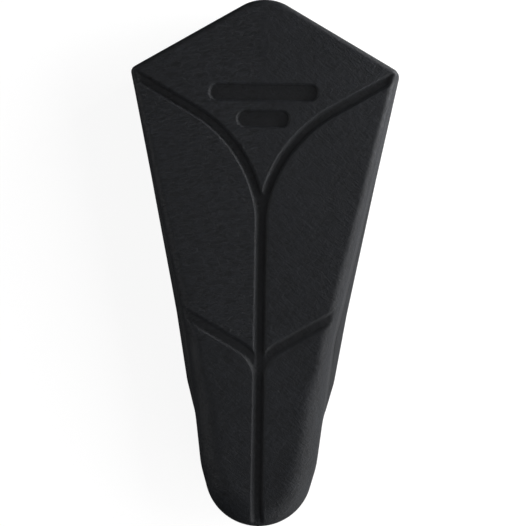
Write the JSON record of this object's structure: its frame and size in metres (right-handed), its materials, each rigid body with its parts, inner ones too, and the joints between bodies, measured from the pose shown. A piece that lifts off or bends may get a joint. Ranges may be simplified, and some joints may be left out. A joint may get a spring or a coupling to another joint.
{
  "type": "pull buoy",
  "caption": "Necktie-shaped foam pull buoy and kickboard in one: glued foam layers, moulded panel grooves, a pointed nose and a waisted, round-ended tail.",
  "frame": {"origin": "centre of the overall footprint, on the plane of the rear face that the part lies on", "axes": "+X across the body to the right seen from the front face, +Y along the body towards the pointed nose, +Z out of the front face"},
  "size_m": [0.1732, 0.34, 0.066],
  "materials": {
    "pad_foam": "satin, closed-cell EVA foam with a fine moulded skin",
    "core_foam": "matt, skived closed-cell EVA foam",
    "adhesive": "cured contact adhesive, satin"
  },
  "bodies": {
    "root": {"front_foam_pad": "pad_foam", "front_adhesive_film": "adhesive", "foam_core": "core_foam", "rear_adhesive_film": "adhesive", "rear_foam_pad": "pad_foam"}
  },
  "joints": []
}
